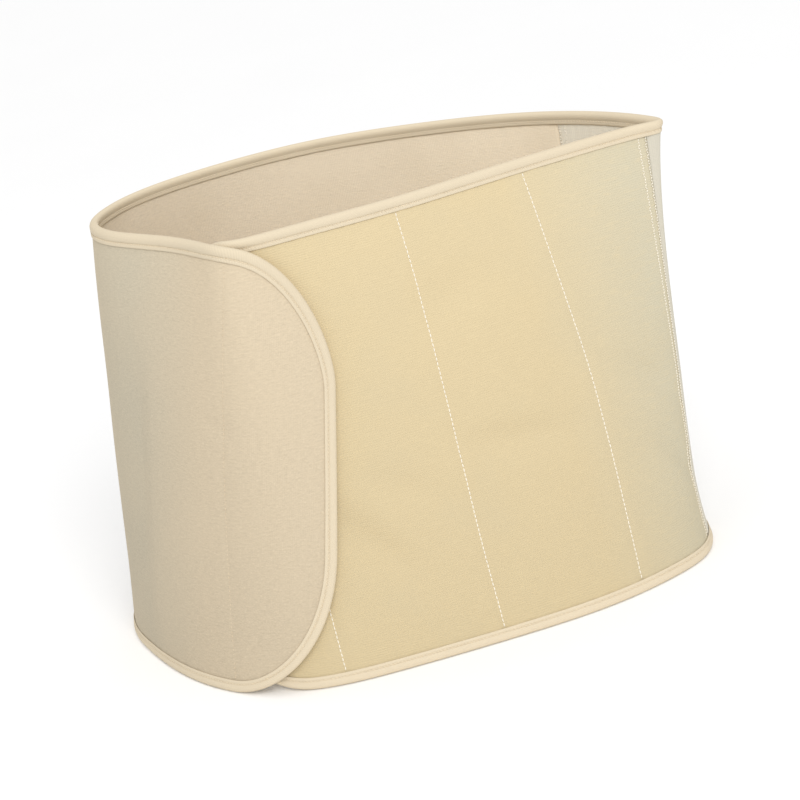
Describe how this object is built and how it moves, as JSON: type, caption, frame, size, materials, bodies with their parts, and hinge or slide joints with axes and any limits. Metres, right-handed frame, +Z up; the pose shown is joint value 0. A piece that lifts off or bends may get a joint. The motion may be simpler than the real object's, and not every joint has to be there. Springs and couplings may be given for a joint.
{
  "type": "abdominal binder",
  "caption": "Soft elastic abdominal binder closed into a ring by a rounded hook-and-loop flap, with bound edges and stitched stay lines, standing on its lower edge.",
  "frame": {"origin": "middle of the footprint of the standing ring, on the surface that it stands on", "axes": "+Z up, across the strip's width; +X along the ring's long side, towards the elastic side panel; -Y towards the closure"},
  "size_m": [0.3668, 0.2288, 0.26],
  "materials": {
    "brushed_cloth": "brushed knit, matt",
    "loop_cloth": "loop pile, matt",
    "elastic_cloth": "ribbed elastic, matt",
    "binding_tape": "fine ribbed tape, soft sheen",
    "hook_tape": "hook tape, matt"
  },
  "bodies": {
    "root": {"wrap_panel": "brushed_cloth", "side_panel": "elastic_cloth", "front_panel": "loop_cloth", "edge_binding": "binding_tape", "hook_patch": "hook_tape"}
  },
  "joints": []
}
